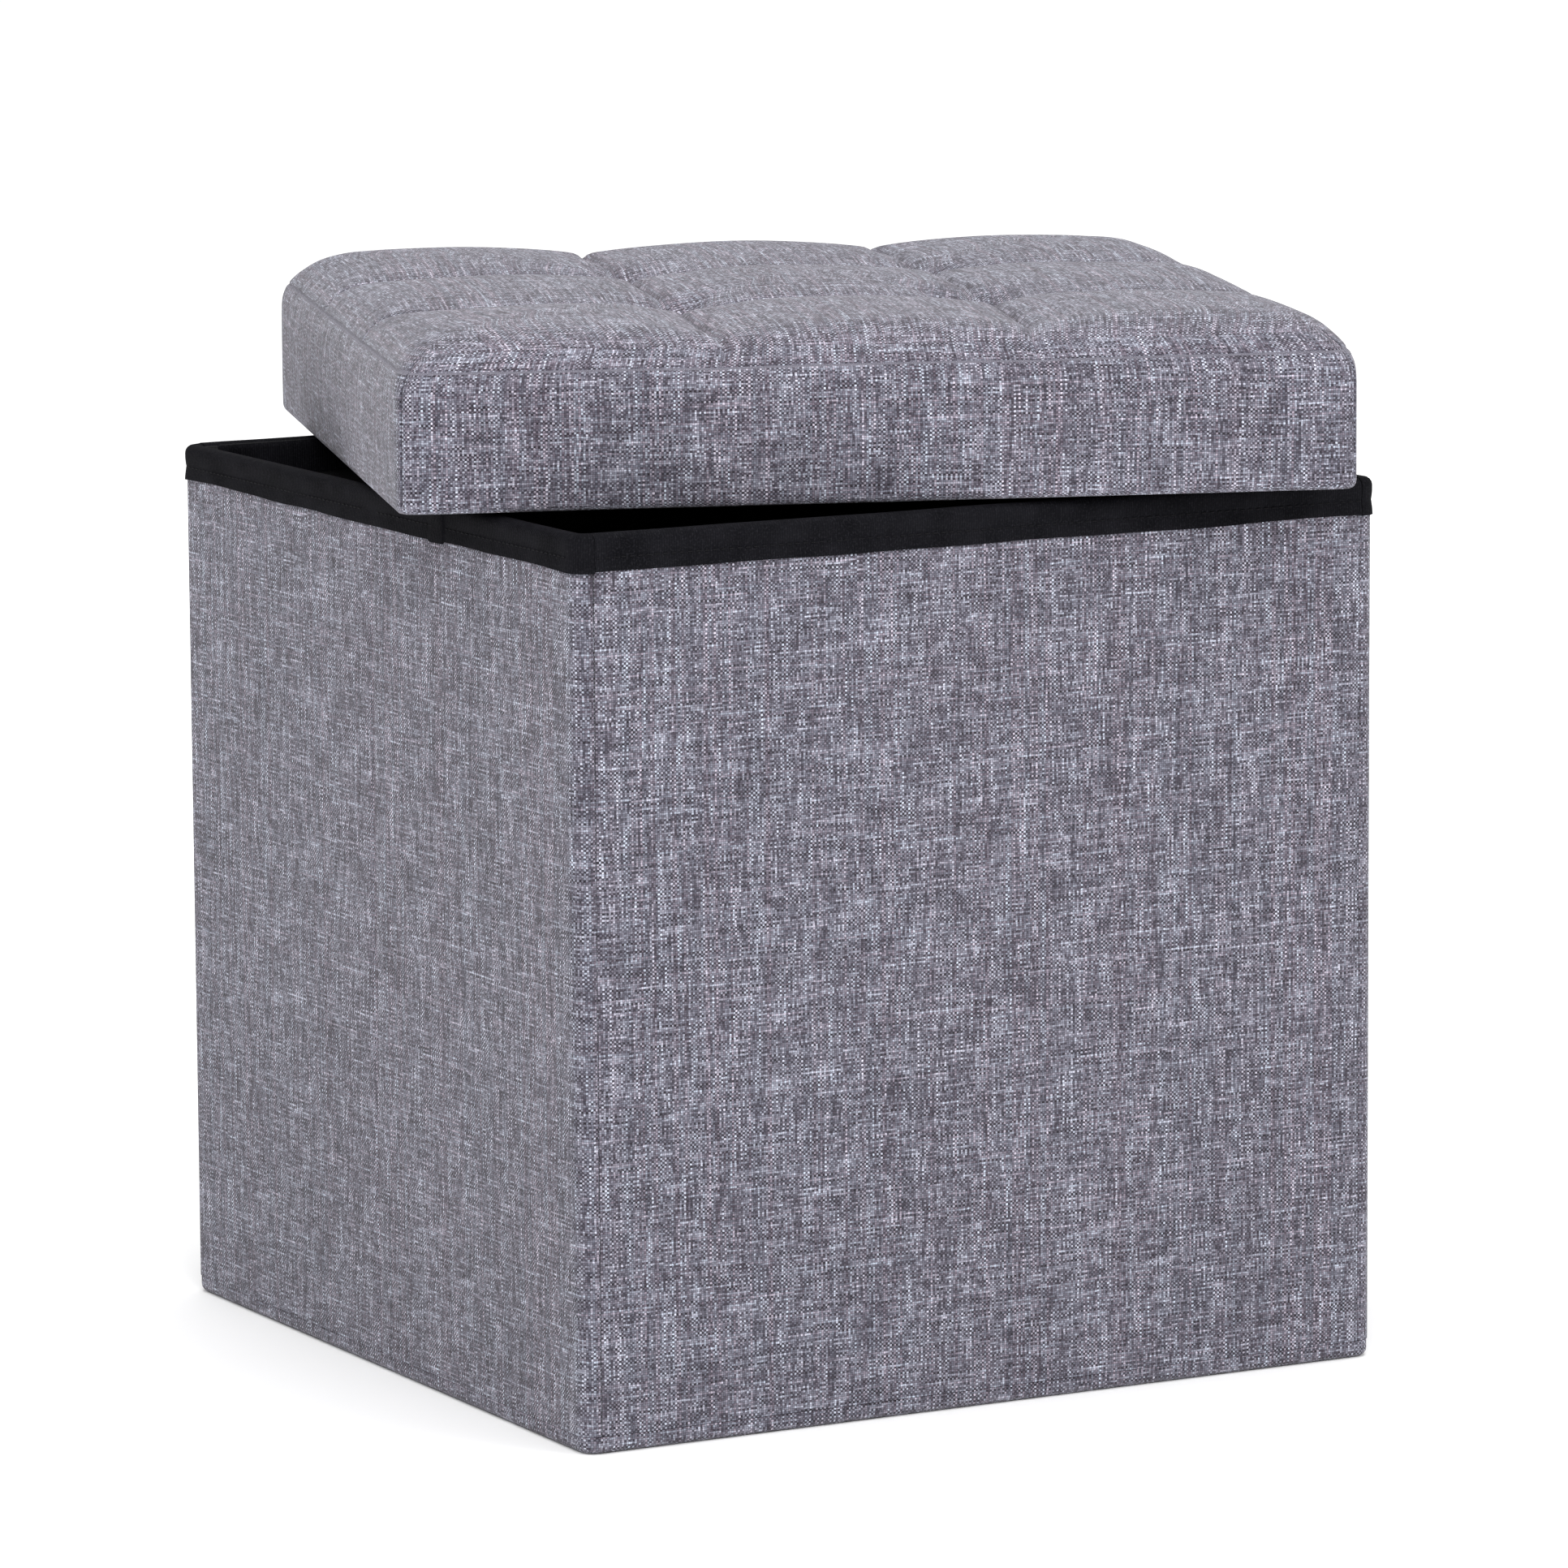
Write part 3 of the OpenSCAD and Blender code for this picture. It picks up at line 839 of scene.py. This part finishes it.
def bottomHem():
    radius = halfW - hingeX
    rim = hemHigh.z + baseValues["hemRise"]
    obj = block("bottomHem", floorLow, (floorHigh.x, floorHigh.y, rim))
    pick(obj, "EDGE", lambda c, d: abs(d.z) > 0.9)
    bpy.ops.mesh.bevel(offset=radius, segments=6, affect="EDGES")
    endEdit()
    pick(obj, "FACE", lambda c, n: n.z > 0.9)
    bpy.ops.mesh.inset(thickness=baseValues["hemWidth"])
    bpy.ops.transform.translate(value=(0, 0, floorHigh.z - rim))
    endEdit()
    pick(obj, "EDGE", lambda c, d: c.z < 0.1 * mm and abs(d.z) < 0.1)
    bpy.ops.mesh.bevel(offset=baseValues["bottomRound"], segments=4, affect="EDGES")
    endEdit()
    pick(obj, "EDGE", lambda c, d: abs(c.z - rim) < 0.1 * mm
         and max(abs(c.x) - halfW, abs(c.y) - halfD) > -2.5 * mm)
    bpy.ops.mesh.bevel(offset=baseValues["topRound"], segments=2, affect="EDGES")
    endEdit()

    def place(p, n):
        if abs(n.z) > 0.75:
            return (p.x, p.y)
        if abs(n.y) > abs(n.x):
            return (p.x if n.y > 0 else -p.x, p.z)
        return (p.y if n.x < 0 else -p.y, p.z)

    layCloth(obj, place)
    smooth(obj, 40)
    return obj


finishPiece(bottomHem(), weaveCloth, "base_and_back", ["floor_hem", "floor_cloth"])


def wrappedBoard():
    low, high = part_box("base_board_wrap")
    obj = block("wrappedBaseBoard", low, high)
    pick(obj, "EDGE", lambda c, d: True)
    bpy.ops.mesh.bevel(offset=baseValues["boardRound"], segments=3, affect="EDGES")
    endEdit()
    pick(obj, "FACE", lambda c, n: n.z > 0.9)
    for _ in range(5):
        bpy.ops.mesh.subdivide(number_cuts=1)
    endEdit()

    def ripple(p):
        if p.z > high.z - 0.1 * mm:
            p.z += baseValues["boardRipple"] * wave(p, 0.05, 8.8)
        return p

    shape(obj, ripple)
    smooth(obj)
    return obj


finishPiece(wrappedBoard(), dustCloth, "base_and_back", ["base_board_wrap"])


def pullTab():
    low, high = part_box("base_pull_tab")
    obj = block("pullTab", (low.x, low.y, low.z), (high.x, high.y - (high.x - low.x) / 2, high.z))
    pick(obj, "EDGE", lambda c, d: abs(d.x) > 0.9 or abs(d.y) > 0.9)
    bpy.ops.mesh.subdivide(number_cuts=9)
    endEdit()
    end = high.y - (high.x - low.x) / 2
    pick(obj, "FACE", lambda c, n: n.y > 0.9)
    bpy.ops.mesh.extrude_region_move(TRANSFORM_OT_translate={"value": (0, high.y - end, 0)})
    endEdit()
    radius = (high.x - low.x) / 2

    def roundEnd(p):
        if p.y > end + 1e-6:
            p.y = end + (max(radius ** 2 - p.x ** 2, 0)) ** 0.5 * 0.999 + 0.01 * mm
        return p

    shape(obj, roundEnd)
    applyMod(obj, "BEVEL", width=baseValues["tabRound"], segments=2, limit_method="ANGLE")
    layCloth(obj, lambda p, n: (p.x, p.y))
    smooth(obj)
    return finishPiece(obj, ribbonCloth, "base_and_back", ["base_pull_tab"])


pullTab()
tabLow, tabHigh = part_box("base_pull_tab")
inset, sewn = baseValues["tabSewnIn"], tabLow.y + baseValues["tabSewnLength"]
corners = [(tabLow.x + inset, tabLow.y + inset), (tabHigh.x - inset, tabLow.y + inset),
           (tabHigh.x - inset, sewn), (tabLow.x + inset, sewn)]
rows = []
for i, (x, y) in enumerate(corners):
    nextX, nextY = corners[(i + 1) % 4]
    rows += rowBetween((x, y, tabHigh.z), (nextX, nextY, tabHigh.z))
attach(stitchRow("tabStitches", rows), "base_and_back")
print("base made")

lidJoint = next(j for j in frame["joints"] if j["name"] == "lid_turn")
pivot = Vector(lidJoint["pos_m"])
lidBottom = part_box("lid_dust_cloth")[0].z
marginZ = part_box("lid_band_front")[0].z
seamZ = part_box("lid_band_front")[1].z
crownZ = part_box("lid_top_cover")[1].z
buttonLow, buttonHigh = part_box("pivot_button")
buttonRadius = (buttonHigh.x - buttonLow.x) / 2
lidSide = 6 * pivot.x               # the tufts stand at a sixth of the lid's side from its middle
halfLid = lidSide / 2
thirds = lidSide / 6

lidValues = {
    "turn": -18.5,                  # degrees that the lid lies turned from square
    "cornerRound": 5.5 * mm,
    "topRound": 27 * mm,
    "topCornerRound": 12 * mm,      # how much rounder the corners are on top
    "lowerRound": 3 * mm,
    "cell": 6.4 * mm,
    "pressure": 4.0,
    "cap": 5 * mm,
    "puff": 5.2 * mm,               # height of the nine fields over the sewn lines
    "crownFall": 4.5 * mm,          # how much lower the top is at its edge than in the middle
    "tuftDepth": 13.5 * mm,
    "tuftReach": 11 * mm,
    "buttonTurn": 35,               # degrees between the weave on the buttons and on the cushion
    "dustInset": 13 * mm,           # how far the dust cloth ends from the lid's edge
    "groove": 3.8 * mm,             # how sharply the stitches pull the lines in
    "cornerSeam": 1.9 * mm,
    "bandSeam": 0.9 * mm,
    "uneven": 0.8 * mm,
}


def atLid(obj):
    # turns a piece made square over the box to where the lid lies
    spot = Vector((pivot.x, pivot.y, 0))
    turn = Matrix.Rotation(radians(lidValues["turn"]), 4, "Z")
    obj.data.transform(Matrix.Translation(spot) @ turn @ Matrix.Translation(-spot))
    obj.data.update()
    return obj


def tufts():
    return [Vector((sx * thirds, sy * thirds, 0)) for sx in (-1, 1) for sy in (-1, 1)]


def fromTuft(p):
    return min(hypot(p.x - t.x, p.y - t.y) for t in tufts())


def pinch(p):
    # depth of the sewn lines and tufts under the crown, at this place on the unshaped pad
    def field(x):
        if abs(x) > 2 * thirds:
            return 1.0
        return abs(sin(pi * (x - thirds) / (2 * thirds))) ** 0.6

    outer = max(abs(p.x), abs(p.y))
    edge = max(0.0, min(1.0, (halfLid - outer) / (30 * mm)))
    depth = lidValues["puff"] * (0.25 + 0.75 * edge) * (1 - field(p.x) * field(p.y))
    beside = max(0.0, fromTuft(p) - buttonRadius)
    depth += (lidValues["tuftDepth"] - depth) * exp(-(beside / lidValues["tuftReach"]) ** 1.4)
    return depth + lidValues["crownFall"] * (outer / halfLid) ** 2


def roundPlace(p):
    # takes a place on the square-edged pad to its place on the rounded one
    level = max(abs(p.x), abs(p.y), 1e-9)
    top, low, high = lidValues["topRound"], lidValues["lowerRound"], crownZ - marginZ
    up = p.z - marginZ
    onSide = level > halfLid - 1e-6
    z, ring, corner = up, level, lidValues["cornerRound"]
    if up > high - top - 1e-6 and (onSide or up > high - 1e-6):
        path = level - (halfLid - top) + ((high - up) if onSide else 0.0)
        if path > 0:
            turn = path / (2 * top) * pi / 2
            ring = halfLid - top + top * sin(turn)
            z = high - top + top * cos(turn)
        share = min(1.0, max(0.0, 2 - path / top)) if path > 0 else 1.0
        corner += lidValues["topCornerRound"] * share
        z -= pinch(p) * max(0.0, min(1.0, (z - (high - top) - 4 * mm) / (top - 4 * mm)))
    elif up < low + 1e-6 and (onSide or up < 1e-6):
        path = level - (halfLid - low) + (up if onSide else 0.0)
        if path > 0:
            turn = path / (2 * low) * pi / 2
            ring = halfLid - low + low * sin(turn)
            z = low - low * cos(turn)
    flat = Vector((p.x, p.y)) * (ring / level)
    corner = min(corner, ring)
    inner = Vector([max(-ring + corner, min(ring - corner, value)) for value in flat])
    if (flat - inner).length > 1e-9:
        flat = inner + (flat - inner).normalized() * corner
    return Vector((flat.x, flat.y, marginZ + z))


def seamUp():
    # height on the unshaped pad that comes to lie at the perimeter seam
    top, high = lidValues["topRound"], crownZ - marginZ
    turn = acos((seamZ - marginZ - high + top) / top)
    return crownZ - (turn / (pi / 2) * 2 * top - top)


def cushionPlace(p, n):
    # the top cover is one cloth and the band another: they meet at the perimeter seam
    squeeze = pi / 4
    top = lidValues["topRound"]

    def outward(x):
        flat = halfLid - top
        return x if abs(x) < flat else (flat + (abs(x) - flat) * squeeze) * (1 if x > 0 else -1)

    if n.z < -0.5:
        return (p.x, p.y)
    over = (crownZ - p.z) * squeeze
    if n.z > 0.5:
        return (outward(p.x), outward(p.y))
    isFront = abs(n.y) > 0.5
    side = (1 if (p.y if isFront else p.x) > 0 else -1)
    x = p.x if isFront else p.y
    if p.z > seamUp() - 0.1 * mm:
        reach = side * (halfLid - top + top * squeeze + over)
        return (x, reach) if isFront else (reach, x)
    bend = crownZ - top
    z = p.z if p.z < bend else bend + (p.z - bend) * squeeze
    return (x + (1.0 if isFront else 2.0) * side, z)


def gridCuts():
    # where the pad is cut into small squares: even, with closer rows at the sewn lines and the edges
    cuts = set()
    step = lidValues["cell"]
    for low, high in ((-thirds, thirds), (thirds, 2 * thirds), (2 * thirds, halfLid)):
        count = round((high - low) / step)
        for i in range(count):
            cuts.add(round(low + (high - low) * i / count, 6))
            if low >= thirds - 1e-6:
                cuts.add(round(-low - (high - low) * i / count, 6))
    for line in (-thirds, thirds):
        cuts |= {round(line - 1.6 * mm, 6), round(line + 1.6 * mm, 6)}
    for edge in (0.7 * mm, 1.5 * mm, 3.5 * mm, 6 * mm, 9 * mm):
        cuts |= {round(halfLid - edge, 6), round(-halfLid + edge, 6)}
    return sorted(cuts)


def padStart():
    obj = block("lidCushion", (-halfLid, -halfLid, marginZ), (halfLid, halfLid, crownZ))
    bend, seam = crownZ - lidValues["topRound"], seamUp()
    rows = [marginZ + up * mm for up in (2.2, 4.4, 9, 15, 21, 27, 33, 39)]
    rows += [bend, bend + 5 * mm, seam - 2.6 * mm, seam - 1.3 * mm, seam, seam + 1.3 * mm, seam + 2.6 * mm,
             seam + 6 * mm, seam + 10 * mm]
    planes = [(i, cut) for i in (0, 1) for cut in gridCuts()] + [(2, row) for row in rows]
    only(obj)
    bpy.ops.object.mode_set(mode="EDIT")
    for axis, cut in planes:
        place, normal = Vector((0, 0, 0)), Vector((0, 0, 0))
        place[axis], normal[axis] = cut, 1
        bpy.ops.mesh.select_all(action="SELECT")
        bpy.ops.mesh.bisect(plane_co=place, plane_no=normal)
    endEdit()
    layCloth(obj, cushionPlace)
    return obj


def inflate(obj, unshaped):
    before = [v.co.copy() for v in obj.data.vertices]
    pins = obj.vertex_groups.new(name="pins")
    for v, p in zip(obj.data.vertices, unshaped):
        onTop = p.z > crownZ - 0.1 * mm
        weight = 0.0
        if p.z < marginZ + 12 * mm or (fromTuft(p) < buttonRadius + 3 * mm and onTop):
            weight = 1.0
        elif onTop and min(abs(abs(p.x) - thirds), abs(abs(p.y) - thirds)) < 1 * mm:
            weight = 0.5
        elif p.z < seamZ:
            weight = 0.15
        if weight:
            pins.add([v.index], weight, "REPLACE")
    only(obj)
    mod = obj.modifiers.new("Cloth", "CLOTH")
    settings = mod.settings
    settings.quality = 6
    settings.mass = 0.3
    settings.tension_stiffness = settings.compression_stiffness = 25
    settings.shear_stiffness = 12
    settings.bending_stiffness = 0.8
    settings.use_pressure = True
    settings.uniform_pressure_force = lidValues["pressure"]
    settings.vertex_group_mass = "pins"
    settings.pin_stiffness = 1.0
    settings.effector_weights.gravity = 0
    mod.collision_settings.use_self_collision = False
    for step in range(1, 21):
        bpy.context.scene.frame_set(step)
    done = obj.evaluated_get(bpy.context.evaluated_depsgraph_get()).data
    after = [v.co.copy() for v in done.vertices]
    obj.modifiers.remove(mod)
    furthest = 0.0
    for v, old, new in zip(obj.data.vertices, before, after):
        shift = new - old
        furthest = max(furthest, shift.length)
        if shift.length > lidValues["cap"]:
            shift = shift.normalized() * lidValues["cap"]
        v.co = old + shift
    print(f"cushion swelled by up to {furthest / mm:.1f} mm")
    bpy.context.scene.frame_set(1)
    obj.data.update()


def sewPad(obj, unshaped):
    # pulls the cloth in at the sewn lines, the perimeter seam and the corner seams
    seam = seamUp()
    for v, p in zip(obj.data.vertices, unshaped):
        outer = max(abs(p.x), abs(p.y))
        onSide = outer > halfLid - 1e-6
        onTop = p.z > crownZ - 0.1 * mm
        q = v.co.copy()
        if onTop or p.z > seam + 2 * mm:
            line = min(abs(abs(p.x) - thirds), abs(abs(p.y) - thirds))
            if onSide:
                line = abs((abs(p.x) if abs(p.y) > abs(p.x) else abs(p.y)) - thirds)
            besideButton = 1 - near(fromTuft(p), 1.3 * buttonRadius) if onTop else 1.0
            toEdge = 0.4 + 0.6 * min(1.0, (halfLid - outer) / (30 * mm))
            q.z -= lidValues["groove"] * near(line, 0.9 * mm) * besideButton * toEdge
        if onSide:
            out = Vector((q.x, q.y, 0))
            if abs(p.x) > halfLid - 1e-6 and abs(p.y) > halfLid - 1e-6:
                inward = -out.normalized()
                if p.z > marginZ + 3 * mm:
                    q += inward * lidValues["cornerSeam"]
            elif p.z < seam + 8 * mm:
                inward = Vector((-1 if p.x > 0 else 1, 0, 0)) if abs(p.x) > abs(p.y) \
                    else Vector((0, -1 if p.y > 0 else 1, 0))
                q += inward * lidValues["bandSeam"] * near(p.z - seam, 0.8 * mm)
        if onTop:
            q.z += lidValues["uneven"] * wave(p, 0.06, 5.5)
        v.co = q
    obj.data.update()


def lidCushion():
    obj = padStart()
    unshaped = [v.co.copy() for v in obj.data.vertices]
    shape(obj, roundPlace)
    inflate(obj, unshaped)
    sewPad(obj, unshaped)
    applyMod(obj, "SUBSURF", levels=1, render_levels=1)
    atLid(obj)
    smooth(obj, 60)
    return obj


cushion = lidCushion()
bands = [f"lid_band_{word}" for word in ("front", "right", "back", "left")]
finishPiece(cushion, weaveCloth, "lid", ["lid_top_cover", "lid_foam"] + bands)
print("cushion made")


def dustSheet():
    half = halfLid - lidValues["dustInset"]
    obj = cloth("dustCloth", (-half, -half, lidBottom), (half, half, lidBottom), liningValues["step"],
                (0, 0, -1))
    shape(obj, lambda p: Vector((p.x, p.y, p.z + 0.12 * mm * (1 + wave(p, 0.05, 3.3)))))
    layCloth(obj, lambda p, n: (p.x, p.y))
    thicken(obj, 0.45 * mm)
    atLid(obj)
    smooth(obj)
    finishPiece(obj, dustCloth, "lid", ["lid_dust_cloth"])


dustSheet()


def coveredButton(name, place):
    height = buttonHigh.z - buttonLow.z
    bpy.ops.object.select_all(action="DESELECT")
    bpy.ops.mesh.primitive_uv_sphere_add(segments=32, ring_count=16, radius=buttonRadius,
                                         location=(place.x, place.y, buttonLow.z))
    obj = bpy.context.object
    obj.name = obj.data.name = name
    settle(obj)
    startEdit(obj)
    bpy.ops.mesh.bisect(plane_co=(place.x, place.y, buttonLow.z), plane_no=(0, 0, 1),
                        clear_inner=True, use_fill=True)
    endEdit()
    low = buttonLow.z
    shape(obj, lambda p: Vector((p.x, p.y, low + (p.z - low) * height / buttonRadius)))
    turned = Matrix.Rotation(radians(lidValues["buttonTurn"]), 2)
    layCloth(obj, lambda p, n: turned @ p.xy)
    smooth(obj)
    return obj


def buttons():
    kept = []
    for i, t in enumerate(tufts()):
        isPivot = t.x > 0 and t.y < 0
        piece = coveredButton("pivotButton" if isPivot else f"tuftButton{i}", t)
        atLid(piece)
        if isPivot:
            finishPiece(piece, weaveCloth, "lid_pivot", ["pivot_button"])
        else:
            kept.append(piece)
    only(*kept)
    bpy.ops.object.join()
    joined = bpy.context.object
    joined.name = joined.data.name = "tuftButtons"
    finishPiece(joined, weaveCloth, "lid", ["tuft_buttons"])


buttons()
print("lid made")

# CAD pieces that keep their shape get a finish
keptLooks = {
    "fibreboard": boardStuff, "black_nonwoven": liningCloth, "twine": twineStuff, "washer": washerStuff,
    "staple_steel": stapleStuff, "foam": foamStuff, "melange_weave": weaveCloth, "rim_tape": tapeCloth,
    "pull_ribbon": ribbonCloth,
}
slotOf = {row["node"]: row["material_slot"] for row in frame["record"]["subparts"]}
for name, node in frame["nodes"].items():
    if not node.hide_render:
        node.data.materials.clear()
        node.data.materials.append(keptLooks[slotOf[name]])
print("kept pieces painted")

stageValues = {
    "floorSize": 60.0,
    "farGlow": 0.46,           # the floor's own light far from the box, so that it fades to white
    "glowStart": 0.5,
    "glowEnd": 1.7,
    "worldStrength": 0.62,
}


def makeFloor():
    bpy.ops.object.select_all(action="DESELECT")
    bpy.ops.mesh.primitive_plane_add(size=stageValues["floorSize"], location=(0, 0, -0.2 * mm))
    floor = bpy.context.object
    floor.name = "paleFloor"
    n = Nodes("paleFloor")
    n.fixed(Base_Color=(0.9, 0.9, 0.9, 1), Roughness=1.0)
    n.shader.inputs["Specular IOR Level"].default_value = 0.0
    n.shader.inputs["Emission Color"].default_value = (1, 1, 1, 1)
    away = n.add("ShaderNodeVectorMath", operation="LENGTH")
    n.link(n.objectPlace(), away.inputs[0])
    n.put(n.span(away.outputs["Value"], stageValues["glowStart"], stageValues["glowEnd"], 0.0,
                 stageValues["farGlow"]), n.shader.inputs["Emission Strength"])
    floor.data.materials.append(n.material)


def makeWorld():
    world = bpy.data.worlds.new("softStudio")
    bpy.context.scene.world = world
    world.use_nodes = True
    world.node_tree.nodes["Background"].inputs[0].default_value = (1, 1, 1, 1)
    world.node_tree.nodes["Background"].inputs[1].default_value = stageValues["worldStrength"]


lightValues = {
    "keySoft": {"place": (-1.6, -3.2, 2.2), "size": 1.8, "power": 84},
    "leftSoft": {"place": (-2.9, -0.4, 2.3), "size": 1.8, "power": 24},
    "rightSoft": {"place": (2.0, -2.8, 2.0), "size": 1.8, "power": 40},
    "topSoft": {"place": (0.2, 0.1, 3.2), "size": 2.4, "power": 72},
}


def makeLights():
    for name, values in lightValues.items():
        bpy.ops.object.light_add(type="AREA", location=values["place"])
        light = bpy.context.object
        light.name = name
        light.data.size = values["size"]
        light.data.energy = values["power"]
        aim = Vector((0, 0, 0.25)) - Vector(values["place"])
        light.rotation_euler = aim.to_track_quat("-Z", "Y").to_euler()


cameraValues = {
    "place": (-1.7035, -3.1589, 0.7816),
    "turn": (81.193, 0.372, -28.49),    # degrees
    "lens": 202.9,
    "sensor": 36.0,
}


def makeCamera():
    bpy.ops.object.camera_add(location=cameraValues["place"],
                              rotation=[radians(a) for a in cameraValues["turn"]])
    camera = bpy.context.object
    camera.data.lens = cameraValues["lens"]
    camera.data.sensor_width = cameraValues["sensor"]
    camera.data.clip_end = 200
    bpy.context.scene.camera = camera


makeFloor()
makeWorld()
makeLights()
makeCamera()
bpy.context.scene.view_settings.view_transform = "Standard"
print("stage set")
